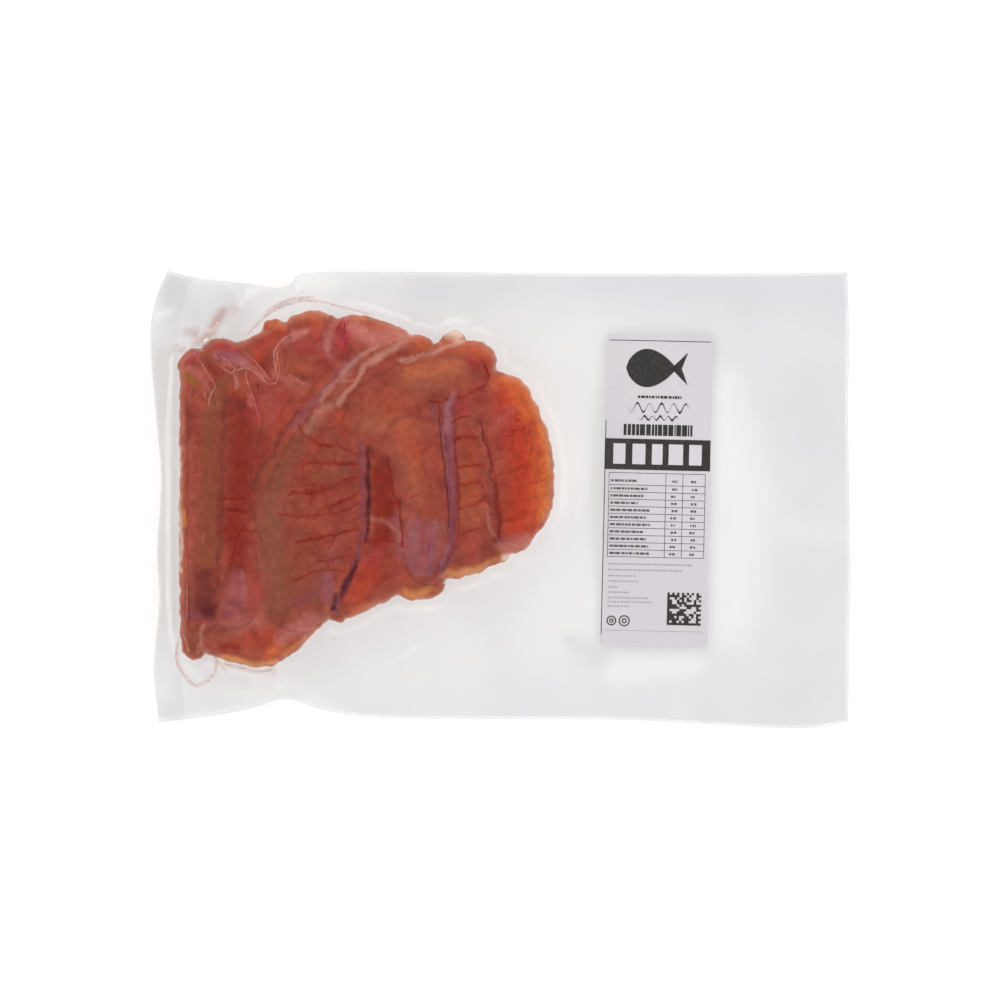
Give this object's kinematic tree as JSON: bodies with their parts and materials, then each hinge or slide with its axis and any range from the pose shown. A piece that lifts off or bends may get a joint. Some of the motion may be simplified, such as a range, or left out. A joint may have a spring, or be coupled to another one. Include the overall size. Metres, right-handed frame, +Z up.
{
  "type": "vacuum pouch of fish roe",
  "caption": "Clear vacuum pouch lying flat, tight round a cushion of veined raw fish roe sacs at one end, with a paper label on its thin empty flap.",
  "frame": {"origin": "on the surface that the pouch lies on, under the middle of its outline", "axes": "+X along the pouch from the roe's end to the empty flap, +Y across it, +Z up"},
  "size_m": [0.3006, 0.1966, 0.0321],
  "materials": {
    "film_with_roe": "raw roe under clear gloss film",
    "roe": "moist translucent membrane over roe",
    "veins": "moist dark red",
    "drip": "thin pink liquid",
    "film": "clear, slightly milky plastic film",
    "label_paper": "smooth coated paper",
    "label_ink": "matt dark print"
  },
  "bodies": {
    "root": {"pouch": "film_with_roe", "label": "label_paper"}
  },
  "joints": []
}
